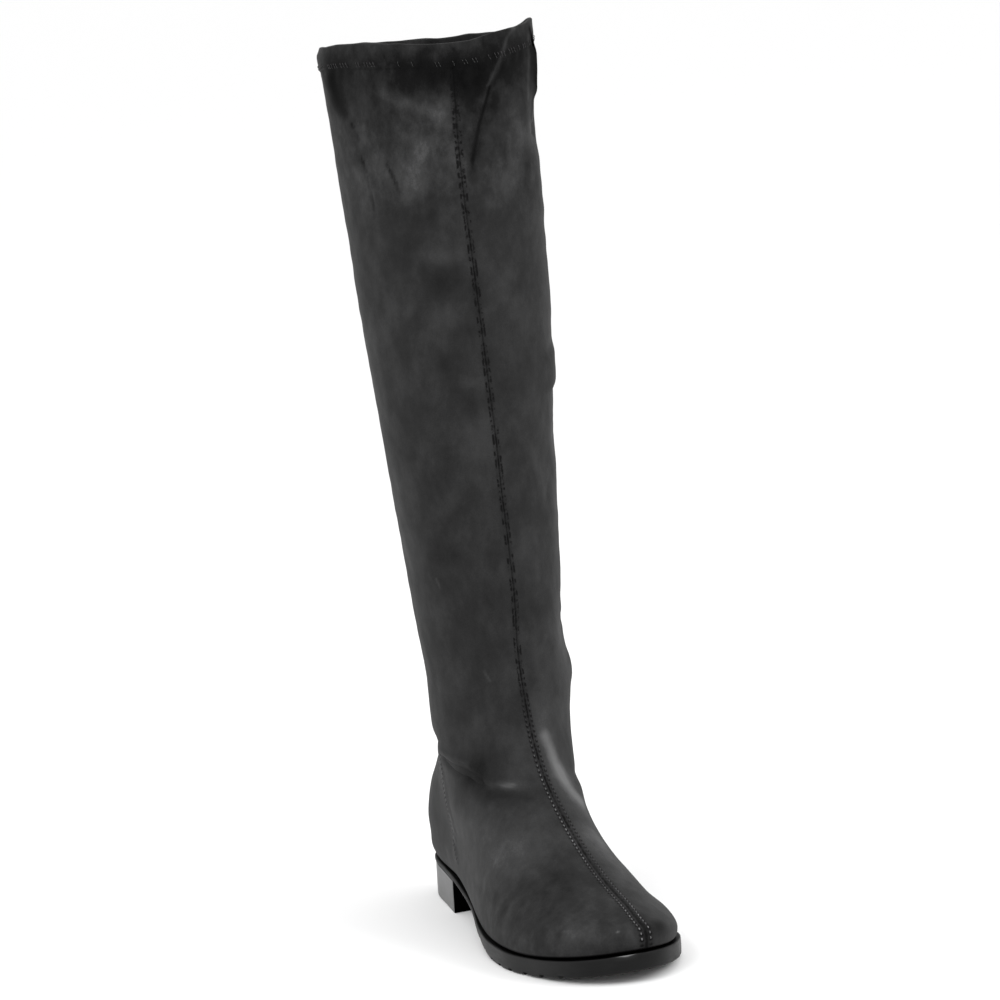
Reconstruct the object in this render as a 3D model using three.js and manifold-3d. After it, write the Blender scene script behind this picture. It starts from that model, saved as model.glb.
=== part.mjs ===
import * as THREE from "three";
import Module from "manifold-3d";

const wasm = await Module();
wasm.setup();

// A right-foot knee-high pull-on boot with a low block heel.
// Millimetres. X runs from the heel to the toe, Y to the medial side, Z up.
// The origin is the middle of the heel's floor face.

// ---- driving sizes
const OUTSOLE_LENGTH = 262;
const HEEL_BACK_X = -30;
const TOE_TIP_X = HEEL_BACK_X + OUTSOLE_LENGTH;
const HEEL_BREAST_X = 32;
const UPPER_WALL = 2;
const HEM_WALL = 3.2;
const HEM_STEP = 0.5;
const INSOLE_THICKNESS = 3;
const FIT_GAP = 0.3;

// The gap given to curved pieces at their section points. The flats between the points of two
// facing meshes come nearer to each other, to about FIT_GAP.
const CURVED_GAP = 0.55;

// Shape of the outsole's edge: how far each level stands in from the outline.
const SOLE_UNDERSIDE_INSET = 1.6;
const SOLE_LOWER_CORNER = { inset: 0.2, rise: 1.2 };
const SOLE_UPPER_CORNER = { inset: 0.3, drop: 0.8 };
const SOLE_TOP_INSET = 1.2;

// Shape of the heel block: how far each level stands in from the outsole's outline.
const HEEL_FLOOR_INSET = 0.8;
const HEEL_LOWER_CORNER = { inset: 0.2, rise: 0.8 };
const HEEL_TOP_INSET = 0.5;

// Half-width and lowest level of the boxes that cut the grooves and the heel's breast.
const CUT_HALF_WIDTH = 80;
const CUT_BOTTOM = -5;
const CUT_TOP = 60;

// ---- resolution
const POINTS_AROUND = 48;
const SOLE_POINTS_AROUND = 96;
const STEPS_BETWEEN_SECTIONS = 2;
const SHORT_SPAN = 4;

// Outline of the outsole from above, a row per station along the foot.
const SOLE_OUTLINE = named(
  ["x", "medial", "lateral"],
  [
    [HEEL_BACK_X, 0, 0],
    [-24, 14.5, 10.6],
    [-10, 21, 16.6],
    [10, 22.5, 20.3],
    [32, 24.5, 24.3],
    [75, 25, 31.5],
    [110, 35.5, 41.5],
    [135, 45, 46.5],
    [158, 48.5, 48],
    [185, 46.5, 43],
    [208, 35.5, 34],
    [222, 22.5, 22.5],
    [TOE_TIP_X, 0, 0],
  ],
);
const TOE_TIP_Y = 5.5;

// Side view of the outsole: undersides rise from the forefoot to the shank and to the toe.
const SOLE_PROFILE = named(
  ["x", "bottom", "top"],
  [
    [HEEL_BACK_X, 21.6, 24.6],
    [0, 20.4, 23.4],
    [32, 19.8, 23.2],
    [60, 16.2, 19.9],
    [90, 10.4, 14.9],
    [115, 5, 11.6],
    [130, 1.6, 10.6],
    [142, 0, 10.4],
    [167, 0, 10.6],
    [185, 0.8, 11.3],
    [205, 2.6, 13],
    [220, 4.8, 15],
    [TOE_TIP_X, 7.2, 17.4],
  ],
);

// Sections of the foot part of the upper, from the sole to the ankle. Each section is a ring
// whose back and front ends are given in the side view, with its reach to the medial (m) and
// lateral (l) side at the heel, waist, ball and toe. "follow" bends it to the sole's line.
const FOOT_SECTIONS = named(
  [
    "backX", "backZ", "frontX", "frontZ",
    "mHeel", "mWaist", "mBall", "mToe",
    "lHeel", "lWaist", "lBall", "lToe",
    "frontY", "backY", "follow",
  ],
  [
    [-28.2, 24.9, 228.5, 17.4, 20.5, 20.5, 40.5, 31, 19.3, 34, 51.5, 40, 9, 0, 1],
    [-30.0, 31.0, 229.5, 22.5, 21.5, 21.5, 40.5, 32, 21.5, 34.5, 51, 40, 9, 0, 1],
    [-31.5, 40.0, 228.0, 28.5, 22.5, 22.5, 38, 29, 23, 35.5, 49, 37.5, 9, 1, 0.8],
    [-32.5, 50.0, 221.0, 32.0, 23, 24, 34, 23.5, 24, 35, 45.5, 32.5, 8.5, 2, 0.6],
    [-32.0, 61.0, 206.0, 37.0, 23.5, 25, 30.5, 20, 24, 35, 42, 28.5, 9, 3, 0.4],
    [-29.0, 72.0, 180.0, 44.5, 23.5, 27, 28, 18.5, 23.5, 35, 39, 25.5, 9, 4, 0.2],
    [-24.0, 84.0, 152.0, 56.5, 23.5, 30, 28, 17.5, 21.5, 35, 38, 25, 9, 5, 0.1],
    [-18.5, 97.0, 128.0, 73.0, 24, 33, 30, 18, 21, 34.5, 35, 22.5, 8, 7, 0],
    [-15.5, 111.0, 109.0, 91.0, 25, 36, 34, 20, 24, 35.5, 34, 22, 7, 9, 0],
    [-11.0, 126.0, 98.0, 110.0, 26, 37.5, 36.5, 22.5, 26, 37, 33.5, 21.5, 6.5, 10.5, 0],
  ],
);

// Sections of the shaft, from above the ankle to the rim. "skew" slides the front of a
// section to the medial side, "turn" carries the front seam round it in degrees, and "dip" is
// the share of the rim line that the section follows.
const SHAFT_SECTIONS = named(
  ["z", "x", "y", "halfX", "halfY", "skew", "turn", "tiltX", "tiltY", "dip"],
  [
    [145, 42, 10.5, 50.5, 40.5, 0, -8, -0.08, 0, 0],
    [165, 43, 7.5, 49.5, 40.5, 0, -6, -0.05, 0, 0],
    [195, 44, 5.5, 50, 42, 0, -3.5, -0.02, 0, 0],
    [225, 45, 4, 51, 44, 0, -4, 0, 0.01, 0],
    [255, 46, 2.5, 52, 46, 0, -5, 0, 0.02, 0],
    [290, 47, 1, 52, 48, 0.04, -7.5, 0, 0.03, 0],
    [325, 48, 0, 52, 50, 0.08, -11, 0, 0.04, 0],
    [360, 49, -1.5, 51.5, 51.5, 0.14, -14.5, 0, 0.05, 0],
    [395, 49.5, -3.5, 51, 51.5, 0.2, -17.5, 0, 0.06, 0],
    [430, 50, -5.5, 50, 51.5, 0.26, -20, 0, 0.07, 0.2],
    [465, 50, -7, 49.5, 51, 0.32, -22, 0, 0.08, 0.5],
    [500, 50, -7.5, 49, 53, 0.37, -22.5, 0, 0.08, 1],
    [501.2, 50, -7.5, 49, 53, 0.37, -22.5, 0, 0.08, 1],
    [513, 50, -8, 49, 53, 0.38, -23, 0, 0.08, 1],
  ],
);
const HEM_SECTIONS = 2;

// The slack rim rises and falls round the collar: degrees from the front seam towards the
// medial side, and millimetres above a level rim.
const RIM_LINE = named(
  ["angle", "rise"],
  [
    [-180, -6.5],
    [-145, -3],
    [-104, 0],
    [-63, 2.5],
    [-29, 0.5],
    [0, -3.5],
    [26, -4],
    [50, -1.5],
    [75, 0.5],
    [100, -4],
    [120, -7.5],
    [148, -8],
    [180, -6.5],
  ],
);

// Fractions of a foot section's length at which its half-widths are measured.
const STATIONS = [0.14, 0.4, 0.7, 0.9];

// Transverse grooves across the forefoot tread.
const GROOVE_PITCH = 13;
const GROOVE_WIDTH = 4;
const GROOVE_DEPTH = 1.8;
const FIRST_GROOVE_X = 113.5;
const GROOVE_COUNT = 8;

// ---- tables and curves

function named(columns, rows) {
  return rows.map((row) => Object.fromEntries(columns.map((name, i) => [name, row[i]])));
}

// A monotone cubic through the points (xs, ys).
function curveThrough(xs, ys) {
  const slopes = xs.slice(1).map((x, i) => (ys[i + 1] - ys[i]) / (x - xs[i]));
  const tangents = xs.map((_, i) => {
    if (i === 0) return slopes[0];
    if (i === xs.length - 1) return slopes[i - 1];
    if (slopes[i - 1] * slopes[i] <= 0) return 0;
    return 2 / (1 / slopes[i - 1] + 1 / slopes[i]);
  });
  return (x) => {
    let i = 0;
    while (i < xs.length - 2 && x > xs[i + 1]) i += 1;
    const span = xs[i + 1] - xs[i];
    const t = (x - xs[i]) / span;
    return hermite(ys[i], ys[i + 1], tangents[i] * span, tangents[i + 1] * span, t);
  };
}

function hermite(from, to, startTangent, endTangent, t) {
  const t2 = t * t;
  const t3 = t2 * t;
  return (
    (2 * t3 - 3 * t2 + 1) * from +
    (t3 - 2 * t2 + t) * startTangent +
    (3 * t2 - 2 * t3) * to +
    (t3 - t2) * endTangent
  );
}

const lerp = THREE.MathUtils.lerp;
const soleX = SOLE_PROFILE.map((row) => row.x);
const soleTop = curveThrough(soleX, SOLE_PROFILE.map((row) => row.top));
const soleBottom = curveThrough(soleX, SOLE_PROFILE.map((row) => row.bottom));

const rimRise = curveThrough(RIM_LINE.map((row) => row.angle), RIM_LINE.map((row) => row.rise));

// The angle round a section that goes with a share t of its length, and the other way.
const angleOf = (t) => Math.acos(1 - 2 * t);
const shareOf = (angle) => (1 - Math.cos(angle)) / 2;

// ---- rings of points, each running from the front through the medial side and the back

function ringOf(pointAt, count = POINTS_AROUND) {
  return Array.from({ length: count }, (_, i) => pointAt((2 * Math.PI * i) / count));
}

const outlineAngles = SOLE_OUTLINE.map((row) => {
  return angleOf((row.x - HEEL_BACK_X) / OUTSOLE_LENGTH);
});
const medialOutline = curveThrough(outlineAngles, SOLE_OUTLINE.map((row) => row.medial));
const lateralOutline = curveThrough(outlineAngles, SOLE_OUTLINE.map((row) => row.lateral));

// The outsole's outline drawn in by "inset", at a height taken from "heightAt".
function soleRing(inset, heightAt) {
  const plan = ringOf((angle) => {
    const fromBack = Math.abs(Math.PI - angle);
    const share = shareOf(fromBack);
    const medial = angle <= Math.PI;
    const reach = medial ? medialOutline(fromBack) : -lateralOutline(fromBack);
    const x = HEEL_BACK_X + share * OUTSOLE_LENGTH;
    return new THREE.Vector3(x, reach + TOE_TIP_Y * share ** 6, 0);
  }, SOLE_POINTS_AROUND);
  return insetRing(plan, inset).map((p) => new THREE.Vector3(p.x, p.y, heightAt(p.x)));
}

// A ring drawn in sideways by "inset", keeping its heights.
function insetRing(ring, inset) {
  return ring.map((p, i) => {
    const before = ring[(i + ring.length - 1) % ring.length];
    const after = ring[(i + 1) % ring.length];
    const outward = new THREE.Vector3(after.y - before.y, before.x - after.x, 0).normalize();
    return p.clone().addScaledVector(outward, -inset);
  });
}

// Weights of four sine terms whose sum passes through the half-widths at the stations.
function sineWeights(widths) {
  const rows = STATIONS.map((share, i) => {
    const angle = angleOf(share);
    return [1, 2, 3, 4].map((k) => Math.sin(k * angle)).concat(widths[i]);
  });
  for (let pivot = 0; pivot < rows.length; pivot += 1) {
    for (let other = 0; other < rows.length; other += 1) {
      if (other === pivot) continue;
      const factor = rows[other][pivot] / rows[pivot][pivot];
      rows[other] = rows[other].map((value, column) => value - factor * rows[pivot][column]);
    }
  }
  return rows.map((row, i) => row[4] / row[i]);
}

function sineSum(weights, angle) {
  return weights.reduce((sum, weight, i) => sum + weight * Math.sin((i + 1) * angle), 0);
}

function footRing(section) {
  const medial = sineWeights([section.mHeel, section.mWaist, section.mBall, section.mToe]);
  const lateral = sineWeights([section.lHeel, section.lWaist, section.lBall, section.lToe]);
  const lineAtBack = soleTop(section.backX);
  const lineAtFront = soleTop(Math.min(section.frontX, TOE_TIP_X));
  return ringOf((angle) => {
    const fromBack = Math.abs(Math.PI - angle);
    const share = shareOf(fromBack);
    const x = lerp(section.backX, section.frontX, share);
    const middle = lerp(section.backY, section.frontY, share);
    const reach = angle <= Math.PI ? sineSum(medial, fromBack) : -sineSum(lateral, fromBack);
    const sag = soleTop(x) - lerp(lineAtBack, lineAtFront, share);
    const z = lerp(section.backZ, section.frontZ, share) + section.follow * sag;
    return new THREE.Vector3(x, middle + reach, z);
  });
}

function shaftRing(section) {
  const turn = THREE.MathUtils.degToRad(section.turn);
  return ringOf((angle) => {
    const along = section.halfX * Math.cos(angle + turn);
    const across = section.skew * along + section.halfY * Math.sin(angle + turn);
    const fromSeam = THREE.MathUtils.radToDeg(angle > Math.PI ? angle - 2 * Math.PI : angle);
    const lean = section.tiltX * along + section.tiltY * across;
    const z = section.z + lean + section.dip * rimRise(fromSeam);
    return new THREE.Vector3(section.x + along, section.y + across, z);
  });
}

// Extra rings between the sections, on a smooth curve through all of them.
function smoothRings(rings) {
  const knots = [0];
  for (let i = 1; i < rings.length; i += 1) {
    const apart = rings[i].reduce((sum, p, k) => sum + p.distanceTo(rings[i - 1][k]), 0);
    knots.push(knots[i - 1] + apart / rings[i].length);
  }
  const tangents = rings.map((ring, i) => {
    const a = Math.max(i - 1, 0);
    const b = Math.min(i + 1, rings.length - 1);
    const before = (knots[i] - knots[a]) / (knots[b] - knots[a]);
    return ring.map((p, k) => {
      if (i === a) return slope(p, rings[b][k], knots[b] - knots[i]);
      if (i === b) return slope(rings[a][k], p, knots[i] - knots[a]);
      const ahead = slope(p, rings[b][k], knots[b] - knots[i]);
      const behind = slope(rings[a][k], p, knots[i] - knots[a]);
      return ahead.multiplyScalar(before).addScaledVector(behind, 1 - before);
    });
  });
  const out = [];
  for (let i = 0; i < rings.length - 1; i += 1) {
    const span = knots[i + 1] - knots[i];
    const steps = span < SHORT_SPAN ? 1 : STEPS_BETWEEN_SECTIONS;
    for (let step = 0; step < steps; step += 1) {
      out.push(betweenRings(rings[i], rings[i + 1], tangents[i], tangents[i + 1], span, step / steps));
    }
  }
  out.push(rings[rings.length - 1]);
  return out;
}

function slope(from, to, span) {
  return to.clone().sub(from).divideScalar(span);
}

function betweenRings(from, to, startTangents, endTangents, span, t) {
  return from.map((p, k) => {
    const along = (axis) => {
      const start = startTangents[k][axis] * span;
      const end = endTangents[k][axis] * span;
      return hermite(p[axis], to[k][axis], start, end, t);
    };
    return new THREE.Vector3(along("x"), along("y"), along("z"));
  });
}

// ---- closed meshes from rings

// Faces between two neighbouring rings of a stack that starts at the index "base".
function sideFaces(faces, base, next, count) {
  for (let i = 0; i < count; i += 1) {
    const j = (i + 1) % count;
    faces.push(base + i, base + j, next + j, base + i, next + j, next + i);
  }
}

// A lid over a ring, in strips from its medial to its lateral side.
function lidFaces(faces, base, count, up) {
  const push = (a, b, c) => (up ? faces.push(a, b, c) : faces.push(a, c, b));
  for (let i = 0; i < count / 2; i += 1) {
    const medial = base + i;
    const medialNext = base + i + 1;
    const lateral = base + ((count - i) % count);
    const lateralNext = base + count - i - 1;
    if (medial !== lateral) push(medial, medialNext, lateral);
    if (medialNext !== lateralNext) push(medialNext, lateralNext, lateral);
  }
}

function geometryOf(rings, faces) {
  const geometry = new THREE.BufferGeometry();
  const positions = rings.flat().flatMap((p) => [p.x, p.y, p.z]);
  geometry.setAttribute("position", new THREE.Float32BufferAttribute(positions, 3));
  geometry.setIndex(faces);
  return geometry;
}

// A solid body: rings stacked upwards, with a lid at the bottom and at the top.
function stackedBody(rings) {
  const count = rings[0].length;
  const faces = [];
  lidFaces(faces, 0, count, false);
  for (let r = 0; r < rings.length - 1; r += 1) sideFaces(faces, r * count, (r + 1) * count, count);
  lidFaces(faces, (rings.length - 1) * count, count, true);
  return geometryOf(rings, faces);
}

// A hollow body: rings up its outside and down its inside, closed along the bottom edge.
function hollowBody(outer, inner) {
  const rings = [...outer, ...inner.slice().reverse()];
  const count = outer[0].length;
  const faces = [];
  rings.forEach((_, r) => sideFaces(faces, r * count, ((r + 1) % rings.length) * count, count));
  return geometryOf(rings, faces);
}

// ---- solids cut from each other

function solidOf(geometry) {
  const vertProperties = new Float32Array(geometry.attributes.position.array);
  const triVerts = new Uint32Array(geometry.index.array);
  return new wasm.Manifold(new wasm.Mesh({ numProp: 3, vertProperties, triVerts }));
}

function geometryFrom(solid) {
  const mesh = solid.getMesh();
  const geometry = new THREE.BufferGeometry();
  geometry.setAttribute("position", new THREE.Float32BufferAttribute(mesh.vertProperties, 3));
  geometry.setIndex(Array.from(mesh.triVerts));
  return geometry;
}

// A box across the whole sole, from below the floor to a height.
function cuttingBox(minX, maxX, maxZ) {
  const corners = [
    [maxX, 0],
    [maxX, CUT_HALF_WIDTH],
    [minX, CUT_HALF_WIDTH],
    [minX, 0],
    [minX, -CUT_HALF_WIDTH],
    [maxX, -CUT_HALF_WIDTH],
  ];
  const ringAt = (z) => corners.map(([x, y]) => new THREE.Vector3(x, y, z));
  return solidOf(stackedBody([ringAt(CUT_BOTTOM), ringAt(maxZ)]));
}

// ---- the upper

// How far the inside face stands in from the outside face at a given ring.
function wallAt(index, count) {
  return index >= count - HEM_SECTIONS ? HEM_WALL : UPPER_WALL;
}

function ringNormals(rings, index) {
  const below = rings[Math.max(index - 1, 0)];
  const above = rings[Math.min(index + 1, rings.length - 1)];
  const ring = rings[index];
  return ring.map((_, k) => {
    const around = ring[(k + 1) % ring.length].clone().sub(ring[(k + ring.length - 1) % ring.length]);
    const up = above[k].clone().sub(below[k]);
    return around.cross(up).normalize();
  });
}

function insideRings(rings) {
  return rings.map((ring, index) => {
    const flat = index === 0 || index >= rings.length - HEM_SECTIONS;
    const wall = wallAt(index, rings.length);
    return ringNormals(rings, index).map((normal, k) => {
      if (flat) normal.setZ(0).normalize();
      return ring[k].clone().addScaledVector(normal, -wall);
    });
  });
}

function upperOutside() {
  const foot = FOOT_SECTIONS.map(footRing);
  foot[0] = foot[0].map((p) => new THREE.Vector3(p.x, p.y, soleTop(p.x) + CURVED_GAP));
  const rings = smoothRings([...foot, ...SHAFT_SECTIONS.map(shaftRing)]);
  const firstHemRing = rings.length - HEM_SECTIONS;
  return rings.map((ring, i) => (i >= firstHemRing ? insetRing(ring, -HEM_STEP) : ring));
}

const outsideRings = upperOutside();
const upperInside = insideRings(outsideRings);

function makeUpper() {
  return hollowBody(outsideRings, upperInside);
}

// ---- what the foot stands on

function makeInsole() {
  const edge = insetRing(upperInside[0], CURVED_GAP);
  const bottom = edge.map((p) => new THREE.Vector3(p.x, p.y, soleTop(p.x) + CURVED_GAP));
  const top = bottom.map((p) => p.clone().setZ(p.z + INSOLE_THICKNESS));
  return stackedBody([bottom, top]);
}

function makeOutsole() {
  const rings = [
    soleRing(SOLE_UNDERSIDE_INSET, soleBottom),
    soleRing(SOLE_LOWER_CORNER.inset, (x) => soleBottom(x) + SOLE_LOWER_CORNER.rise),
    soleRing(0, (x) => lerp(soleBottom(x), soleTop(x), 0.5)),
    soleRing(SOLE_UPPER_CORNER.inset, (x) => soleTop(x) - SOLE_UPPER_CORNER.drop),
    soleRing(SOLE_TOP_INSET, soleTop),
  ];
  let sole = solidOf(stackedBody(rings));
  for (let i = 0; i < GROOVE_COUNT; i += 1) {
    const x = FIRST_GROOVE_X + i * GROOVE_PITCH;
    const roof = soleBottom(x) + GROOVE_DEPTH;
    sole = sole.subtract(cuttingBox(x - GROOVE_WIDTH / 2, x + GROOVE_WIDTH / 2, roof));
  }
  return geometryFrom(sole);
}

function makeHeelBlock() {
  const underSole = (x) => soleBottom(x) - FIT_GAP;
  const rings = [
    soleRing(HEEL_FLOOR_INSET, () => 0),
    soleRing(HEEL_LOWER_CORNER.inset, () => HEEL_LOWER_CORNER.rise),
    soleRing(HEEL_TOP_INSET, underSole),
  ];
  const full = solidOf(stackedBody(rings));
  return geometryFrom(full.intersect(cuttingBox(HEEL_BACK_X - 10, HEEL_BREAST_X, CUT_TOP)));
}

// ---- the assembly

function addPart(group, name, geometry, color, roughness) {
  const material = new THREE.MeshStandardMaterial({ color, roughness });
  const mesh = new THREE.Mesh(geometry, material);
  mesh.name = name;
  group.add(mesh);
}

const boot = new THREE.Group();
boot.name = "knee_boot";
addPart(boot, "upper", makeUpper(), 0x3a3a3c, 0.95);
addPart(boot, "insole", makeInsole(), 0x1c1c1e, 0.8);
addPart(boot, "outsole", makeOutsole(), 0x202022, 0.5);
addPart(boot, "heel_block", makeHeelBlock(), 0x55565a, 0.45);

export default boot;
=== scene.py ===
import math

import bpy
import numpy as np
from mathutils import Matrix, Vector


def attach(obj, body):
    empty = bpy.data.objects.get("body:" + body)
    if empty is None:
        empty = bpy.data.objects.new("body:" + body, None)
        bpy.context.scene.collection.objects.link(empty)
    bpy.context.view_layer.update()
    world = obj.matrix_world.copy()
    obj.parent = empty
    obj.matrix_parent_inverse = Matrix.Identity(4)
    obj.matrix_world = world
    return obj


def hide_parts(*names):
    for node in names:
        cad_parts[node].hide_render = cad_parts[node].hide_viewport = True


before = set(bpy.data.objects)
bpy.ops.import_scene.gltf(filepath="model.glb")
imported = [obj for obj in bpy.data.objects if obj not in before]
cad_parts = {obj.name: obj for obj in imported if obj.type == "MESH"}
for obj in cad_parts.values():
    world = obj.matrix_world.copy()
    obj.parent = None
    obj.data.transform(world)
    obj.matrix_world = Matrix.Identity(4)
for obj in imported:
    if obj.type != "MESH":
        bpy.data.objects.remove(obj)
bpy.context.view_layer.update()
MM = 0.001

# ---- the boot's own tables, in millimetres
HEEL_BACK_X = -30.0
TOE_TIP_X = 232.0
TOE_TIP_Y = 5.5
OUTSOLE_LENGTH = TOE_TIP_X - HEEL_BACK_X
HEEL_BREAST_X = 32.0
FIT_GAP = 0.3
CURVED_GAP = 0.55

# x, medial, lateral
SOLE_OUTLINE = np.array([
    (-30, 0, 0), (-24, 14.5, 10.6), (-10, 21, 16.6), (10, 22.5, 20.3), (32, 24.5, 24.3), (75, 25, 31.5),
    (110, 35.5, 41.5), (135, 45, 46.5), (158, 48.5, 48), (185, 46.5, 43), (208, 35.5, 34), (222, 22.5, 22.5),
    (232, 0, 0),
], float)
# x, bottom, top
SOLE_PROFILE = np.array([
    (-30, 21.6, 24.6), (0, 20.4, 23.4), (32, 19.8, 23.2), (60, 16.2, 19.9), (90, 10.4, 14.9), (115, 5, 11.6),
    (130, 1.6, 10.6), (142, 0, 10.4), (167, 0, 10.6), (185, 0.8, 11.3), (205, 2.6, 13), (220, 4.8, 15),
    (232, 7.2, 17.4),
], float)
# backX, backZ, frontX, frontZ, medial heel/waist/ball/toe, lateral heel/waist/ball/toe, frontY, backY, follow
FOOT_SECTIONS = [
    (-28.2, 24.9, 228.5, 17.4, 20.5, 20.5, 40.5, 31, 19.3, 34, 51.5, 40, 9, 0, 1),
    (-30, 31, 229.5, 22.5, 21.5, 21.5, 40.5, 32, 21.5, 34.5, 51, 40, 9, 0, 1),
    (-31.5, 40, 228, 28.5, 22.5, 22.5, 38, 29, 23, 35.5, 49, 37.5, 9, 1, 0.8),
    (-32.5, 50, 221, 32, 23, 24, 34, 23.5, 24, 35, 45.5, 32.5, 8.5, 2, 0.6),
    (-32, 61, 206, 37, 23.5, 25, 30.5, 20, 24, 35, 42, 28.5, 9, 3, 0.4),
    (-29, 72, 180, 44.5, 23.5, 27, 28, 18.5, 23.5, 35, 39, 25.5, 9, 4, 0.2),
    (-24, 84, 152, 56.5, 23.5, 30, 28, 17.5, 21.5, 35, 38, 25, 9, 5, 0.1),
    (-18.5, 97, 128, 73, 24, 33, 30, 18, 21, 34.5, 35, 22.5, 8, 7, 0),
    (-15.5, 111, 109, 91, 25, 36, 34, 20, 24, 35.5, 34, 22, 7, 9, 0),
    (-11, 126, 98, 110, 26, 37.5, 36.5, 22.5, 26, 37, 33.5, 21.5, 6.5, 10.5, 0),
]
# z, x, y, halfX, halfY, skew, turn, tiltX, tiltY, dip
SHAFT_SECTIONS = [
    (145, 42, 10.5, 50.5, 40.5, 0, -8, -0.08, 0, 0),
    (165, 43, 7.5, 49.5, 40.5, 0, -6, -0.05, 0, 0),
    (195, 44, 5.5, 50, 42, 0, -3.5, -0.02, 0, 0),
    (225, 45, 4, 51, 44, 0, -4, 0, 0.01, 0),
    (255, 46, 2.5, 52, 46, 0, -5, 0, 0.02, 0),
    (290, 47, 1, 52, 48, 0.04, -7.5, 0, 0.03, 0),
    (325, 48, 0, 52, 50, 0.08, -11, 0, 0.04, 0),
    (360, 49, -1.5, 51.5, 51.5, 0.14, -14.5, 0, 0.05, 0),
    (395, 49.5, -3.5, 51, 51.5, 0.2, -17.5, 0, 0.06, 0),
    (430, 50, -5.5, 50, 51.5, 0.26, -20, 0, 0.07, 0.2),
    (465, 50, -7, 49.5, 51, 0.32, -22, 0, 0.08, 0.5),
    (500, 50, -7.5, 49, 53, 0.37, -22.5, 0, 0.08, 1),
    (513, 50, -8, 49, 53, 0.38, -23, 0, 0.08, 1),
]
# degrees from the front seam, rise
RIM_LINE = np.array([
    (-180, -6.5), (-145, -3), (-104, 0), (-63, 2.5), (-29, 0.5), (0, -3.5), (26, -4), (50, -1.5), (75, 0.5),
    (100, -4), (120, -7.5), (148, -8), (180, -6.5),
], float)
STATIONS = (0.14, 0.4, 0.7, 0.9)
FIRST_GROOVE_X = 113.5
GROOVE_PITCH = 13.0
GROOVE_WIDTH = 4.0
GROOVE_DEPTH = 1.8
GROOVE_COUNT = 8

# ---- seams, hem, creases, nap and painted light and shade, in millimetres and degrees from the front seam
HEM_HEIGHT = 12.5
HEM_STEP = 0.5
HEM_ROW = 10.4
HEM_RIPPLE_LENGTH = 7.3
HEM_THREADS_FROM = 8.9
HEM_THREADS_TO = 11.9
HEM_THREAD_PITCH = 1.9
SEAM_PITCH = 3.0
SEAM_THREAD_GAP = 1.5
SEAM_THREADS_TO = 135.0
# Between the foot's inner and outer side.
MIDDLE_Y = 6
COUNTER_STEP = 1.5
COUNTER_ROW_OFFSET = 1.3
COUNTER_PITCH = 2.8
COUNTER_THREAD_GAP = 1.1
SHELL_WALL = 1.3
HEM_WALL = 3.0
LINING_GAP = 0.15
LINING_WALL = 1.9
RIM_RISE = 1.1
RIM_TURNS = (25, 55, 90, 125, 155)
# The hem's outer corner bulges and rounds off about this many degrees from the seam.
LATERAL_CORNER = -98
# The front of the rim is drawn up here.
RIM_PEAK = 31
# A crease fades to this share of its depth over this share of its length at both ends.
CREASE_END = 0.15
CREASE_FADE = 0.22
LINE_REACH = 40
# The upper's outside: columns round it, mm between rings, and how far the columns crowd towards the seam.
SURFACE_COLUMNS = 240
RING_STEP = 1.7
SEAM_CROWDING = 0.5

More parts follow.
